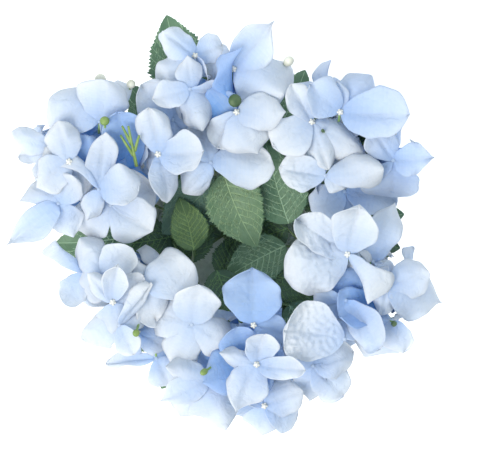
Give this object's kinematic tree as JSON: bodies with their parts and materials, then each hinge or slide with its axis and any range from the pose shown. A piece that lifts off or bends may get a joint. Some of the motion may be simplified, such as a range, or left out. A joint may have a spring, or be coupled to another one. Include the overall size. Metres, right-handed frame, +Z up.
{
  "type": "artificial potted hydrangea",
  "caption": "Silk hydrangea bush with a ring of pale blue flower heads and green leaves on wired stems, set in a plain round white pot.",
  "frame": {"origin": "centre of the pot's flat underside", "axes": "+Z up out of the pot, +Y towards the flower head at the back, +X to the right"},
  "size_m": [0.2827, 0.2769, 0.2185],
  "materials": {
    "pot": "satin white",
    "plaster": "matt grey filler",
    "stem": "matt green sleeve over wire",
    "petals": "pale blue pressed fabric",
    "leaves": "printed green fabric"
  },
  "bodies": {
    "root": {"pot": "pot", "plaster": "plaster", "main_stem": "stem", "bough_north": "stem", "bough_northwest": "stem", "bough_southwest": "stem", "bough_south": "stem", "bough_southeast": "stem", "bough_northeast": "stem", "flower_head_north": "petals", "flower_head_northwest": "petals", "flower_head_southwest": "petals", "flower_head_south": "petals", "flower_head_southeast": "petals", "flower_head_northeast": "petals", "leaf_spray_north": "leaves", "leaf_spray_northwest": "leaves", "leaf_spray_southwest": "leaves", "leaf_spray_south": "leaves", "leaf_spray_southeast": "leaves", "leaf_spray_northeast": "leaves"}
  },
  "joints": []
}
